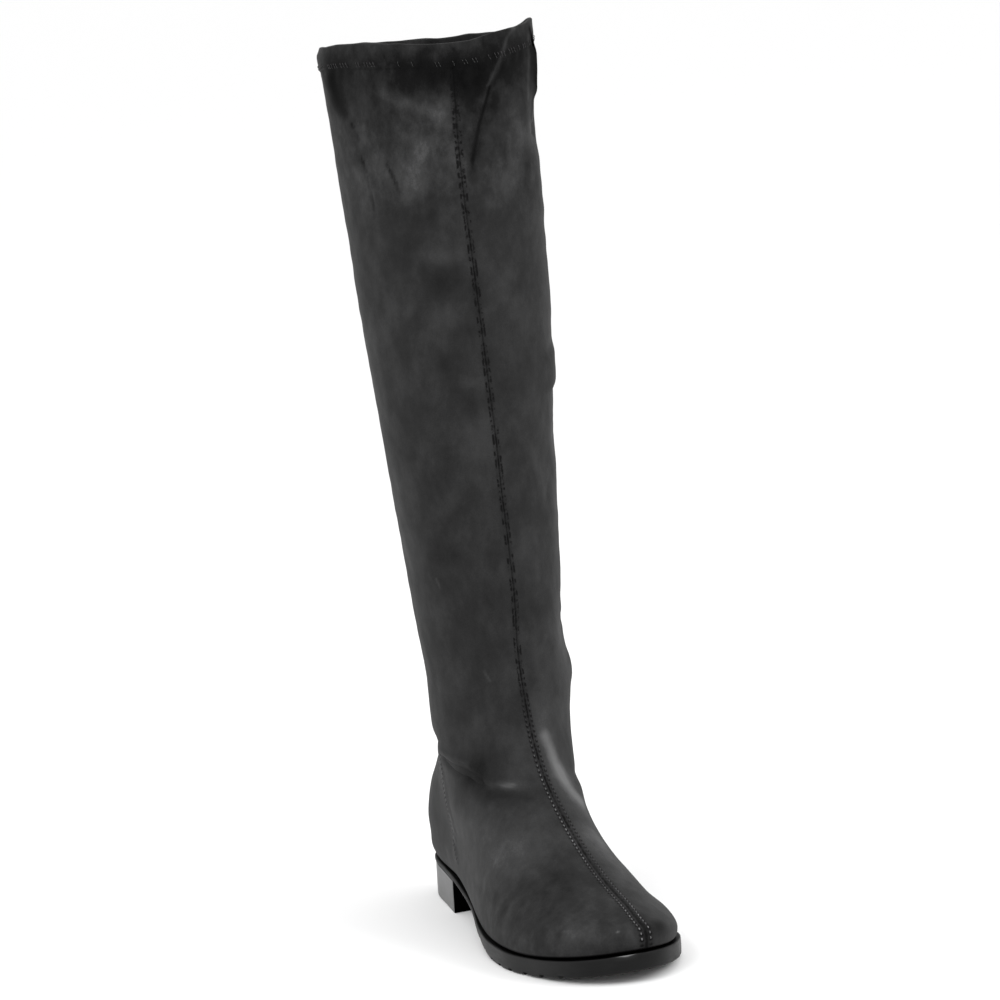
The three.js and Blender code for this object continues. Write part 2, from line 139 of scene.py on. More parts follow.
# Creases and folds: height (minus is a trough), half-width, then (degrees from the front seam, height) along.
CREASES = [
    # diagonal fold in from the collar's front medial corner
    (1.5, 1.9, [
        (42, 514), (35, 509), (28, 499), (24, 493), (19, 485), (16, 476), (11, 464), (8, 452), (4, 436),
    ]),
    (-0.5, 1.8, [(38, 501), (32, 494), (27, 487), (22, 479), (18, 470), (13, 458), (9, 444)]),
    # pinch and folds round the ankle
    (-2.6, 5, [(-150, 106), (-125, 103), (-108, 101), (-98, 99)]),
    (1.4, 2.2, [(-108, 103), (-98, 100), (-82, 99), (-66, 99), (-56, 97), (-46, 96)]),
    (-1.7, 2.4, [(-104, 98), (-94, 96), (-80, 94), (-66, 93), (-54, 88), (-44, 84)]),
    (-1, 3.6, [(-66, 92), (-58, 88), (-50, 84), (-42, 83), (-34, 83)]),
    (1, 1.9, [(-52, 88), (-43, 89), (-34, 88.5), (-25, 88.5), (-16, 88)]),
    (-0.55, 2.4, [(-50, 83.5), (-40, 83.5), (-29, 83), (-18, 82), (-6, 80)]),
    # folds on the medial side of the ankle
    (-2, 4.5, [(168, 104), (145, 103), (125, 102), (105, 98), (88, 92)]),
    (1.6, 3.2, [(160, 111), (135, 111), (112, 108), (92, 101), (78, 95)]),
    (-0.8, 3, [(76, 88), (60, 86), (46, 85), (36, 82)]),
    (0.8, 4, [(66, 80), (52, 77), (40, 75), (28, 72)]),
    (-0.9, 3, [(135, 92), (112, 87), (94, 81), (80, 76)]),
    # the counter's edge showing through behind the lateral instep, and the same on the medial side
    (1, 2, [(-107, 98), (-105, 88), (-104, 78), (-104.5, 68), (-106, 58), (-110, 46), (-113, 36)]),
    (0.7, 2.6, [(110, 92), (106, 78), (105, 64), (107, 50), (110, 38)]),
    # the inner side bulging out behind the collar's corner
    (2.6, 6, [(62, 506), (66, 496), (68, 484), (67, 472)]),
    (-1.6, 5, [(66, 462), (64, 452)]),
    # slack dents down the shaft
    (-0.35, 2, [(-61, 451), (-57.5, 443)]),
    (-0.35, 2.2, [(-43, 447), (-37, 432)]),
    (-0.25, 2, [(-65, 468), (-59, 458)]),
    (-0.25, 1.8, [(-56, 437), (-55, 418)]),
    (0.9, 6, [(-26, 396), (-18, 392), (-9, 389)]),
    (-0.9, 6.5, [(-30, 380), (-20, 376), (-8, 372)]),
    (-0.7, 5, [(-20, 349), (-8, 347)]),
    (0.6, 5, [(-24, 322), (-10, 319)]),
    (-0.7, 5.5, [(-22, 306), (-9, 303)]),
    (1.3, 15, [(64, 450), (63, 436), (62, 418), (62, 402)]),
    (2.4, 13, [(62, 334), (65, 321), (68, 307)]),
    (-0.4, 10, [(64, 290), (66, 278)]),
    (1.3, 16, [(62, 280), (66, 242), (70, 210), (72, 184)]),
    (0.9, 7, [(60, 152), (66, 145), (72, 138)]),
    (-0.9, 8, [(60, 176), (66, 166)]),
    # the same slackness at the back and inner side
    (-1.4, 9, [(170, 470), (158, 440), (150, 405), (148, 370)]),
    (1.1, 9, [(-170, 455), (-162, 420), (-158, 380)]),
    (-1.1, 8, [(120, 350), (128, 310), (140, 270), (150, 235)]),
    (-1, 8, [(-140, 330), (-148, 290), (-158, 250)]),
    (-1.3, 6, [(178, 150), (160, 140), (140, 134), (118, 132)]),
    (1.1, 5, [(172, 138), (150, 128), (128, 122)]),
    (-1.2, 6, [(-178, 140), (-160, 131), (-140, 127), (-120, 126)]),
    (1, 5, [(-172, 127), (-150, 119), (-130, 115)]),
]

# Nap tone and painted light and shade: shade (minus is darker), half-width round the boot, half-height, then
# degrees and height of its middle.
NAP_AND_PAINTED_LIGHT_PATCHES = [
    # under the hem and down to the calf; the dark patches at -78 and -70 degrees are painted shadow of a fold
    # under the hem's lateral side
    (-0.34, 60, 13, -40, 497), (-0.34, 44, 18, 18, 486), (-0.2, 46, 16, 46, 503), (-0.52, 7, 17, -78, 487),
    (-0.34, 7, 9, -70, 476), (-0.14, 10, 22, 12, 462), (0.24, 11, 19, -25, 441), (0.16, 7, 8, -50, 440),
    (0.12, 7, 6, -28, 459), (-0.16, 12, 9, -38, 418), (-0.2, 2.4, 9, 28, 446), (0.12, 5, 5, 14, 421),
    (-0.14, 4, 8, 6, 433), (0.1, 6, 9, 36, 470), (-0.1, 6, 7, -66, 430), (0.16, 12, 10, -14, 476),
    (0.16, 8, 18, -6, 470), (0.1, 24, 26, -52, 440), (-0.16, 9, 14, -35, 465), (-0.12, 12, 16, -14, 424),
    # the shaft; the light patches at 48 and 62 degrees are painted sheen down its medial side
    (0.2, 13, 5, -18, 392), (-0.18, 14, 9, -15, 377), (0.12, 14, 9, -19, 360), (0.12, 8, 11, -22, 348),
    (-0.12, 7, 4, -9, 349), (-0.12, 16, 10, -14, 334), (0.12, 8, 4, -9, 320), (-0.14, 9, 8, -10, 308),
    (0.08, 12, 12, -18, 290), (-0.05, 26, 80, -38, 290), (0.06, 16, 50, -16, 250),
    (-0.06, 24, 60, -48, 200), (0.16, 9, 40, 48, 168), (0.1, 10, 90, 62, 230), (0.08, 14, 120, -88, 260),
    # ankle, foot and toe; painted sheen down the medial side at 25 and 33 degrees and at 50 degrees, 150 mm;
    # on the lateral ankle fold a painted highlight at 88.5 mm with painted shade at 82 to 92 mm under it
    (0.1, 16, 26, 16, 128), (0.38, 7, 12, 25, 89), (0.2, 7, 20, 12, 116), (0.24, 8, 14, 33, 76),
    (0.12, 12, 16, 50, 150), (-0.19, 16, 7, -64, 92), (-0.16, 14, 6, -48, 84), (-0.05, 14, 4, -32, 82),
    (0.32, 11, 2.2, -33, 88.5), (0.1, 12, 6, -26, 98), (0.1, 16, 10, -48, 112), (-0.12, 18, 6, -56, 101),
    (0.28, 34, 14, -82, 62), (0.32, 20, 16, -50, 57), (0.16, 30, 10, -92, 42), (-0.24, 13, 26, -128, 62),
    (-0.1, 26, 14, -34, 44), (-0.06, 30, 10, -20, 34), (0.1, 12, 4, -30, 27), (0.16, 16, 7, 30, 44),
    (0.22, 14, 12, 36, 57), (0.24, 18, 6, -24, 27), (-0.3, 12, 6, 14, 29), (0.1, 12, 4, -44, 24),
    (-0.2, 3.2, 6, -66, 30), (-0.16, 3, 6, -72, 34), (-0.14, 2.6, 7, -58, 28),
]
# Fine marks in the nap, and painted highlights, sheen and shadow along folds and edges: shade, half-width,
# then (degrees, height) along it.
NAP_AND_PAINTED_LIGHT_STROKES = [
    (-0.42, 1.1, [(-60.5, 449), (-59, 446.5)]), (-0.2, 0.8, [(-59, 446), (-57, 441)]),
    (-0.24, 0.8, [(-43, 446), (-41, 442)]), (-0.44, 1, [(-40.6, 441), (-38.2, 434.5)]),
    (-0.16, 0.8, [(-38, 434), (-36.5, 430)]), (-0.36, 1.2, [(-64.5, 468), (-63.5, 465.5)]),
    (-0.3, 1.1, [(-62, 461.5), (-60.5, 459)]), (-0.18, 0.8, [(-57, 438), (-56.3, 430)]),
    (-0.26, 0.9, [(-56, 428), (-55.2, 420)]),
    # painted highlight along the ridge of the diagonal fold from the collar's front medial corner, and
    # painted shade beside it and in its trough (to line 225)
    (0.34, 0.9, [(42, 514), (35, 509), (28, 499), (24, 493), (19, 485)]),
    (0.12, 0.8, [(19, 485), (16, 476)]), (0.1, 1.6, [(7, 462), (5, 450), (2, 438)]),
    (-0.12, 1.3, [(33, 497), (28, 491), (23, 485)]),
    (-0.36, 1.1, [(20.5, 484), (17.5, 475), (13, 464), (10, 454), (7, 444)]),
    (-0.1, 2.4, [(11, 452), (8, 443), (5, 434)]),
    (0.22, 4, [(-40, 486), (-28, 480), (-18, 475), (-8, 471)]),
    # the stroke at 57 to 55 degrees is a painted highlight on the fold edge at the collar's front medial
    # corner
    (0.12, 6, [(44, 462), (38, 446), (32, 428)]), (0.3, 1.2, [(57, 510), (56, 498), (55, 486), (55, 474)]),
    # painted sheen down the medial side beside the front seam and along the foot (to line 230)
    (0.5, 4.4, [(13, 112), (20, 97), (25, 88), (31, 81), (36, 75)]),
    (0.14, 8, [(14, 100), (18, 85), (20, 70), (21, 56), (24, 45)]),
    (0.16, 6, [(37, 75), (37, 64), (35, 54), (35, 46)]),
    # painted shade in the lateral ankle fold and a painted highlight along its upper lip; then a painted
    # highlight down the counter's ridge behind the instep, and on the lower ankle fold painted highlights
    # with painted shade under them (to line 234)
    (-0.34, 1.4, [(-105, 99), (-96, 97), (-82, 95), (-68, 94), (-56, 90)]),
    (0.2, 1.2, [(-104, 102), (-92, 99.5), (-76, 99), (-62, 98.5)]),
    (0.42, 2.2, [(-106, 95), (-104, 79), (-105, 62), (-109, 50)]), (0.1, 1.6, [(-47, 88.5), (-40, 88.7)]),
    (0.22, 1.4, [(-38, 88.5), (-28, 88.5)]), (-0.1, 2, [(-42, 84), (-30, 83), (-19, 82)]),
    # painted shadow: the black strip beside the bulge behind the collar's front medial corner (to the first
    # stroke of the next line)
    (-0.6, 2.2, [(61, 513), (65, 507)]), (-0.7, 5.2, [(66, 504), (69, 498), (70, 491), (69, 485)]),
    (-0.35, 2.2, [(68, 483), (65, 474), (62, 462)]), (0.2, 0.9, [(-36.2, 28), (-35.8, 28)]),
    (0.7, 0.8, [(-13.2, 29), (-12.8, 29)]), (0.34, 1, [(-60, 206), (-58, 202)]),
    (0.26, 0.7, [(-28, 152), (-25, 147)]),
]
# The front seam's two stitch rows: its side, then heights and how light the thread is there.
SEAM_SHADES = [
    (-1, ([20, 34, 41, 48, 57, 86, 102, 125], [0.85, 0.85, 0.40, 0.45, 0.85, 0.80, 0.40, 0.03])),
    (1, ([20, 34, 44, 60, 100, 125], [0.85, 0.80, 0.45, 0.25, 0.15, 0.03])),
]
# Where the hem's stitching shows: first and last degrees, and how light the thread is.
HEM_MARKS = [(-90, -60, 0.26), (-52, -42, 0.30), (2, 14, 0.16), (16, 36, 0.28), (40, 56, 0.30)]
# The counter seams from the back of the ankle to the sole, as distance forward and height.
MEDIAL_COUNTER_SEAM = [
    (-24, 116), (-10, 112), (2, 106), (9, 96), (13, 84), (15, 70), (16, 55), (16.5, 42), (17, 31),
]
LATERAL_COUNTER_SEAM = [
    (-22, 118), (-6, 115), (14, 109), (29, 101), (35, 93), (39, 81), (44, 70), (48, 58), (49, 47), (51, 34),
]

# A painted highlight along the outsole's top edge at the toe: its ends from above, and its half-width.
GLINT = [(226.8, -11.5), (232.0, 4.0)]
GLINT_WIDTH = 1.6
# The outsole's rings: inset, share of the way from its bottom to its top, and mm over that.
SOLE_RINGS = (
    (2.2, 0, 0), (1.5, 0, 0.05), (0.9, 0, 0.3), (0.45, 0, 0.7), (0.2, 0, 1.2), (0.06, 0.35, 0), (0, 0.5, 0),
    (0.04, 0.66, 0), (0.14, 1, -0.8), (0.42, 1, -0.35), (0.8, 1, -0.1), (1.3, 1, 0),
)
# The first ring of the outsole's top edge.
EDGE_RING = 8
# The heel block's rounded lower edge (inset, height), and the inset of its top.
HEEL_LEVELS = ((1.0, 0.0), (0.6, 0.15), (0.32, 0.5), (0.2, 1.0))
HEEL_TOP_INSET = 0.5
HEEL_ARC_STEPS = 160
# The insole's rings: inset and mm over the outsole.
SOCK_INSET = 2.0
SOCK_RINGS = ((0, CURVED_GAP), (0, 2.4), (0.3, 3.0), (0.9, 3.4), (2.5, 3.5))

# ---- curves and rings


def hermite(a, b, ta, tb, u):
    u2, u3 = u * u, u * u * u
    return (2 * u3 - 3 * u2 + 1) * a + (u3 - 2 * u2 + u) * ta + (3 * u2 - 2 * u3) * b + (u3 - u2) * tb


def curve_through(xs, ys):
    """A monotone cubic through the points."""
    xs, ys = np.asarray(xs, float), np.asarray(ys, float)
    slopes = np.diff(ys) / np.diff(xs)
    tangents = np.empty(len(xs))
    tangents[0], tangents[-1] = slopes[0], slopes[-1]
    for i in range(1, len(xs) - 1):
        before, after = slopes[i - 1], slopes[i]
        tangents[i] = 0 if before * after <= 0 else 2 / (1 / before + 1 / after)

    def at(x):
        x = np.asarray(x, float)
        i = np.clip(np.searchsorted(xs, x) - 1, 0, len(xs) - 2)
        span = xs[i + 1] - xs[i]
        return hermite(ys[i], ys[i + 1], tangents[i] * span, tangents[i + 1] * span, (x - xs[i]) / span)

    return at


sole_bottom = curve_through(SOLE_PROFILE[:, 0], SOLE_PROFILE[:, 1])
sole_top = curve_through(SOLE_PROFILE[:, 0], SOLE_PROFILE[:, 2])
rim_rise = curve_through(RIM_LINE[:, 0], RIM_LINE[:, 1])
# Height, and how far each stitch row stands from the front seam there.
seam_row = curve_through([-10, 40, 100, 160, 600], [2.7, 2.6, 1.9, 1.5, 1.5])
outline_angles = np.arccos(np.clip(1 - 2 * (SOLE_OUTLINE[:, 0] - HEEL_BACK_X) / OUTSOLE_LENGTH, -1, 1))
medial_outline = curve_through(outline_angles, SOLE_OUTLINE[:, 1])
lateral_outline = curve_through(outline_angles, SOLE_OUTLINE[:, 2])


def signed_degrees(angles):
    return np.degrees(np.where(angles > math.pi, angles - 2 * math.pi, angles))


def sine_sum(widths, angles):
    rows = [[math.sin(k * math.acos(1 - 2 * s)) for k in (1, 2, 3, 4)] for s in STATIONS]
    weights = np.linalg.solve(np.array(rows), np.array(widths))
    return sum(w * np.sin((k + 1) * angles) for k, w in enumerate(weights))


def foot_ring(section, angles):
    back_x, back_z, front_x, front_z = section[:4]
    front_y, back_y, follow = section[12:]
    from_back = np.abs(math.pi - angles)
    share = (1 - np.cos(from_back)) / 2
    x = back_x + (front_x - back_x) * share
    medial, lateral = sine_sum(section[4:8], from_back), sine_sum(section[8:12], from_back)
    reach = np.where(angles <= math.pi, medial, -lateral)
    y = back_y + (front_y - back_y) * share + reach
    line_back, line_front = sole_top(back_x), sole_top(min(front_x, TOE_TIP_X))
    sag = sole_top(x) - (line_back + (line_front - line_back) * share)
    return np.stack([x, y, back_z + (front_z - back_z) * share + follow * sag], -1)


def shaft_ring(section, angles):
    z, x, y, half_x, half_y, skew, turn, tilt_x, tilt_y, dip = section
    turned = angles + math.radians(turn)
    along = half_x * np.cos(turned)
    across = skew * along + half_y * np.sin(turned)
    height = z + tilt_x * along + tilt_y * across + dip * rim_rise(signed_degrees(angles))
    return np.stack([x + along, y + across, height], -1)


def smooth_rings(rings, step):
    """Rings about a step apart, on a smooth curve through the given ones."""
    gaps = [np.linalg.norm(b - a, axis=1).mean() for a, b in zip(rings, rings[1:])]
    knots = np.concatenate([[0], np.cumsum(gaps)])
    last = len(rings) - 1
    tangents = []
    for i in range(len(rings)):
        a, b = max(i - 1, 0), min(i + 1, last)
        ahead = (rings[b] - rings[i]) / max(knots[b] - knots[i], 1e-9)
        behind = (rings[i] - rings[a]) / max(knots[i] - knots[a], 1e-9)
        weight = (knots[i] - knots[a]) / (knots[b] - knots[a])
        tangents.append(ahead if i == 0 else behind if i == last else ahead * weight + behind * (1 - weight))
    out = []
    for i in range(last):
        span = gaps[i]
        count = max(1, round(span / step))
        for k in range(count):
            out.append(hermite(rings[i], rings[i + 1], tangents[i] * span, tangents[i + 1] * span, k / count))
    out.append(rings[-1])
    return np.array(out)


def sole_outline(count, crowd=0.0):
    t = 2 * math.pi * np.arange(count) / count
    angles = t - crowd * np.sin(t)
    from_back = np.abs(math.pi - angles)
    share = (1 - np.cos(from_back)) / 2
    reach = np.where(angles <= math.pi, medial_outline(from_back), -lateral_outline(from_back))
    return np.stack([HEEL_BACK_X + share * OUTSOLE_LENGTH, reach + TOE_TIP_Y * share ** 6], -1)


def inset_plan(plan, inset):
    way = np.roll(plan, -1, 0) - np.roll(plan, 1, 0)
    outward = np.stack([way[:, 1], -way[:, 0]], -1)
    return plan - inset * outward / np.linalg.norm(outward, axis=1, keepdims=True)


def grid_normals(rings):
    around = np.roll(rings, -1, 1) - np.roll(rings, 1, 1)
    up = np.gradient(rings, axis=0)
    normal = np.cross(around, up)
    return normal / np.maximum(np.linalg.norm(normal, axis=-1, keepdims=True), 1e-9)


def smoothstep(low, high, x):
    t = np.clip((x - low) / (high - low), 0, 1)
    return t * t * (3 - 2 * t)


def bell(distance, width):
    """1 at no distance, falling smoothly to nothing a few widths away."""
    return np.exp(-((distance / width) ** 2))


def run_along(path):
    """How far along a path each of its points is."""
    return np.concatenate([[0], np.cumsum(np.linalg.norm(np.diff(path, axis=0), axis=1))])


def spot_at(distance, run, table):
    """The table's row at a distance, read between its rows, which lie at the distances in run."""
    return np.array([np.interp(distance, run, table[:, k]) for k in range(3)])


# ---- the upper's surface


class Surface:
    """The upper's outside as a grid of rings, with the measures that seams and creases are placed by."""

    def __init__(self, around, step, crowd):
        t = 2 * math.pi * np.arange(around) / around
        angles = t - crowd * np.sin(t)
        rings = [foot_ring(section, angles) for section in FOOT_SECTIONS]
        rings += [shaft_ring(section, angles) for section in SHAFT_SECTIONS]
        rings[0][:, 2] = sole_top(rings[0][:, 0]) + CURVED_GAP
        self.points = smooth_rings(rings, step)
        self.degrees = signed_degrees(angles)
        p = self.points
        self.normals = grid_normals(p)
        steps = np.linalg.norm(np.roll(p, -1, 1) - p, axis=-1)
        ahead = np.concatenate([np.zeros((len(p), 1)), np.cumsum(steps, 1)[:, :-1]], 1)
        total = steps.sum(1, keepdims=True)
        self.from_seam = np.where(ahead < total - ahead, ahead, ahead - total)
        rises = np.linalg.norm(np.diff(p, axis=0), axis=-1)
        self.up = np.concatenate([np.zeros((1, p.shape[1])), np.cumsum(rises, 0)])
        self.below_rim = self.up[-1][None] - self.up
        self.seam_run = np.repeat(self.up[:, :1], p.shape[1], 1)

    def at(self, degrees, height):
        """The point of the surface at degrees from the front seam and at a height."""
        order = np.argsort(self.degrees)
        angles = self.degrees[order]
        columns = self.points[:, order]
        i = int(np.clip(np.searchsorted(angles, degrees) - 1, 0, len(angles) - 2))
        share = (degrees - angles[i]) / (angles[i + 1] - angles[i])
        column = columns[:, i] * (1 - share) + columns[:, i + 1] * share
        return spot_at(height, column[:, 2], column)

    def line(self, places):
        dense = []
        for (a0, z0), (a1, z1) in zip(places, places[1:]):
            dense += [(a0 + (a1 - a0) * t, z0 + (z1 - z0) * t) for t in np.linspace(0, 1, 5)[:-1]]
        dense.append(places[-1])
        return np.array([self.at(a, z) for a, z in dense])

    def near_line(self, line):
        """Distance of every grid point from a line of points, and its share of the way along it."""
        flat = self.points.reshape(-1, 3)
        best = np.full(len(flat), 1e9)
        share = np.zeros(len(flat))
        lengths, before = np.linalg.norm(np.diff(line, axis=0), axis=1), run_along(line)
        low, high = line.min(0) - LINE_REACH, line.max(0) + LINE_REACH
        picked = np.where(((flat > low) & (flat < high)).all(1))[0]
        spots = flat[picked]
        for i, length in enumerate(lengths):
            way = (line[i + 1] - line[i]) / max(length, 1e-6)
            t = np.clip((spots - line[i]) @ way, 0, length)
            d = np.linalg.norm(spots - line[i] - t[:, None] * way, axis=1)
            closer = d < best[picked]
            best[picked[closer]] = d[closer]
            share[picked[closer]] = (before[i] + t[closer]) / before[-1]
        shape = self.points.shape[:2]
        return best.reshape(shape), share.reshape(shape)

    def snap(self, spots):
        """Spots moved onto the surface, with the normals there."""
        flat, normals = self.points.reshape(-1, 3), self.normals.reshape(-1, 3)
        out, out_normals = [], []
        for q in spots:
            i = int(np.argmin(((flat - q) ** 2).sum(1)))
            n = normals[i]
            out.append(q - ((q - flat[i]) @ n) * n)
            out_normals.append(n)
        return np.array(out), np.array(out_normals)


def soft_noise(points, seed, wave, octaves=2):
    """Smooth noise from summed waves in random directions, about -1 to 1."""
    rng = np.random.default_rng(seed)
    total = np.zeros(points.shape[:-1])
    for octave in range(octaves):
        for _ in range(10):
            way = rng.normal(size=3)
            way /= np.linalg.norm(way)
            length = wave / 2 ** octave * rng.uniform(0.7, 1.4)
            total += np.sin(points @ way * 2 * math.pi / length + rng.uniform(0, 6.3)) * 0.5 ** octave / 4
    return total


def crease_push(surface):
    """How far the listed creases move each point out."""
    push = np.zeros(surface.points.shape[:2])
    for depth, width, places in CREASES:
        distance, share = surface.near_line(surface.line(places))
        fade = smoothstep(0, CREASE_FADE, share) * smoothstep(0, CREASE_FADE, 1 - share)
        push += depth * bell(distance, width) * (CREASE_END + (1 - CREASE_END) * fade)
    return push


def slack_push(surface, stretched):
    """Broad and fine unevenness, most of it on the shaft."""
    on_shaft = smoothstep(110, 170, surface.points[..., 2])
    broad = 0.45 * on_shaft * soft_noise(stretched, 3, 46)
    return broad + (0.05 + 0.07 * on_shaft) * soft_noise(surface.points, 5, 15)


def hem_push(surface, hem):
    """The hem's step, its stitch row's groove, the ripple under it, and its rounded outer corner."""
    below = surface.below_rim
    wobble = 2 * soft_noise(surface.points, 9, 30)
    ripple = np.sin(surface.from_seam * 2 * math.pi / HEM_RIPPLE_LENGTH + wobble)
    push = HEM_STEP * hem + 0.22 * ripple * bell(below - HEM_HEIGHT - 1, 3.5)
    push -= 0.25 * bell(below - HEM_ROW, 1.8)
    corner = bell(surface.degrees - LATERAL_CORNER, 26)
    return push + corner * (0.7 * hem - 2.0 * bell(below, 2.4))


def seam_push(surface):
    """The front seam's trough, with the ridges that its two rows are stitched on."""
    rows = np.abs(surface.seam_rows)
    return surface.seam_show * (0.22 * bell(rows - 0.6, 0.35) - 0.45 * bell(rows, 0.35))


def nap_shade(surface, stretched):
    """How light or dark the nap lies, with painted sheen, highlights and shade, from its patches and strokes.
    """
    nap = 0.05 * soft_noise(stretched, 21, 22)
    for shade, half_round, half_high, degrees, level in NAP_AND_PAINTED_LIGHT_PATCHES:
        away = surface.points - surface.at(degrees, level)
        flat = np.hypot(away[..., 0], away[..., 1])
        nap += shade * bell(flat, half_round) * bell(away[..., 2], half_high)
    for shade, width, places in NAP_AND_PAINTED_LIGHT_STROKES:
        distance, _ = surface.near_line(surface.line(places))
        nap += shade * bell(distance, width)
    return nap


def shape_upper(surface):
    """Creases, the hem's band and the front seam pressed into the surface, and the shade of its nap, painted
    light and shade included.
    """
    height = surface.points[..., 2]
    stretched = surface.points * np.array([1, 1, 0.45])
    hem = 1 - smoothstep(HEM_HEIGHT - 0.5, HEM_HEIGHT + 0.5, surface.below_rim)
    surface.seam_rows = surface.from_seam / seam_row(height)
    surface.seam_show = 1 - 0.75 * hem
    push = crease_push(surface) + slack_push(surface, stretched) + hem_push(surface, hem) + seam_push(surface)
    push *= smoothstep(0, 4, surface.up)
    # the groove over the outsole, pressed in and darkened with painted shade, taller and deeper towards the
    # toe
    to_toe = smoothstep(90, 150, surface.points[..., 0])
    groove = 1.3 + 0.9 * to_toe
    push -= (groove * 0.42 - 0.36) * (1 - smoothstep(0.3, groove, surface.up))
    surface.nap = nap_shade(surface, stretched)
    # painted shade in the groove between the upper and the outsole
    surface.nap -= (0.3 + 0.95 * to_toe) * (1 - smoothstep(0.4, groove * 0.85, surface.up))
    surface.mottle = 0.4 + 0.6 * smoothstep(395, 450, height) + 0.3 * (1 - smoothstep(28, 64, height))
    surface.points = surface.points + push[..., None] * surface.normals
    rim_wave = 0.35 * soft_noise(surface.points, 13, 24)
    surface.points[..., 2] += rim_wave * (1 - smoothstep(0, 6, surface.below_rim))
    lift = 2.4 * bell(surface.degrees - RIM_PEAK, 13)
    surface.points[..., 2] += lift * (1 - smoothstep(0, 18, surface.below_rim))
    surface.normals = grid_normals(surface.points)


# ---- meshes


def make_object(name, verts_mm, faces, sharp_degrees=None):
    mesh = bpy.data.meshes.new(name)
    mesh.from_pydata((np.asarray(verts_mm) * MM).tolist(), [], [tuple(f) for f in faces])
    mesh.validate()
    mesh.update()
    mesh.polygons.foreach_set("use_smooth", [True] * len(mesh.polygons))
    if sharp_degrees:
        mesh.set_sharp_from_angle(angle=math.radians(sharp_degrees))
    obj = bpy.data.objects.new(name, mesh)
    bpy.context.scene.collection.objects.link(obj)
    return obj


def add_measure(obj, name, values):
    attribute = obj.data.attributes.new(name, "FLOAT", "POINT")
    attribute.data.foreach_set("value", np.asarray(values, np.float32).ravel())


def loop_faces(rings, around, closed):
    index = np.arange(rings * around).reshape(rings, around)
    nxt = np.roll(index, -1, 1)
    above, above_next = np.roll(index, -1, 0), np.roll(nxt, -1, 0)
    quads = np.stack([index, nxt, above_next, above], -1)
    if not closed:
        quads = quads[:-1]
    return quads.reshape(-1, 4).tolist()


def lid(base, around, up):
    """A lid over a ring in strips from its medial to its lateral side."""
    faces = []
    for i in range(around // 2):
        a, b = base + i, base + i + 1
        c, d = base + (around - i - 1), base + (around - i) % around
        face = [v for k, v in enumerate((a, b, c, d)) if v not in (a, b, c, d)[:k]]
        faces.append(face if up else face[::-1])
    return faces


def capped_faces(rings, around):
    """The faces over a stack of rings, with a lid at each end."""
    walls = loop_faces(rings, around, False)
    return lid(0, around, False) + walls + lid((rings - 1) * around, around, True)


def finished(obj):
    """The object with its modifiers applied."""
    graph = bpy.context.evaluated_depsgraph_get()
    mesh = bpy.data.meshes.new_from_object(obj.evaluated_get(graph))
    obj.modifiers.clear()
    obj.data = mesh
    return obj


def make_shell(surface):
    """The suede: its outside, the turned rim, and its inside, closed under the foot."""
    outer, normals = surface.points, surface.normals
    around = outer.shape[1]
    flat = normals[-1] * np.array([1, 1, 0])
    flat /= np.linalg.norm(flat, axis=1, keepdims=True)
    rim = []
    for a in np.radians(RIM_TURNS):
        rise = np.array([0, 0, RIM_RISE]) * math.sin(a)
        rim.append(outer[-1] - flat * HEM_WALL / 2 * (1 - math.cos(a)) + rise)
    inward = normals.copy()
    inward[surface.below_rim < HEM_HEIGHT + 8, 2] = 0
    inward /= np.linalg.norm(inward, axis=-1, keepdims=True)
    hem = 1 - smoothstep(HEM_HEIGHT - 0.8, HEM_HEIGHT + 1.2, surface.below_rim)
    wall = SHELL_WALL + (HEM_WALL - SHELL_WALL) * hem
    inner = outer - inward * wall[..., None]
    last = len(outer) - 1
    hem_from = last - 12
    rows = sorted({*range(0, hem_from, 6), *range(hem_from, last + 1, 2), last}, reverse=True)
    rings = np.concatenate([outer, rim, inner[rows]])
    rings[-1][:, 2] = outer[0][:, 2]
    obj = make_object("suede_upper", rings.reshape(-1, 3), loop_faces(len(rings), around, True))

    def spread(values):
        return np.concatenate([values, [values[-1]] * len(rim), values[rows]])

    nap = spread(surface.nap)
    nap[len(outer):] = np.maximum(nap[len(outer):], -0.3)
    outside = np.concatenate([np.ones(len(outer)), np.full(len(rim), 0.5), np.zeros(len(rows))])
    add_measure(obj, "nap", nap)
    add_measure(obj, "outside", np.repeat(outside[:, None], around, 1))
    add_measure(obj, "stitched", spread(1 - smoothstep(112, 150, surface.points[..., 2])))
    for name in ("seam_rows", "seam_show", "mottle", "seam_run", "below_rim"):
        add_measure(obj, name, spread(getattr(surface, name)))
    return obj


def make_lining(surface):
    """The knitted lining, a thin closed shell inside the suede."""
    keep = surface.below_rim.mean(1) > HEM_HEIGHT + 0.5
    keep[:4] = False
    rows = np.where(keep)[0][::3]
    outer, normals = surface.points[rows][:, ::2], surface.normals[rows][:, ::2]
    face_out = outer - normals * (SHELL_WALL + LINING_GAP)
    face_in = outer - normals * LINING_WALL
    rings = np.concatenate([face_out, face_in[::-1]])
    return make_object("lining", rings.reshape(-1, 3), loop_faces(len(rings), rings.shape[1], True), 60)


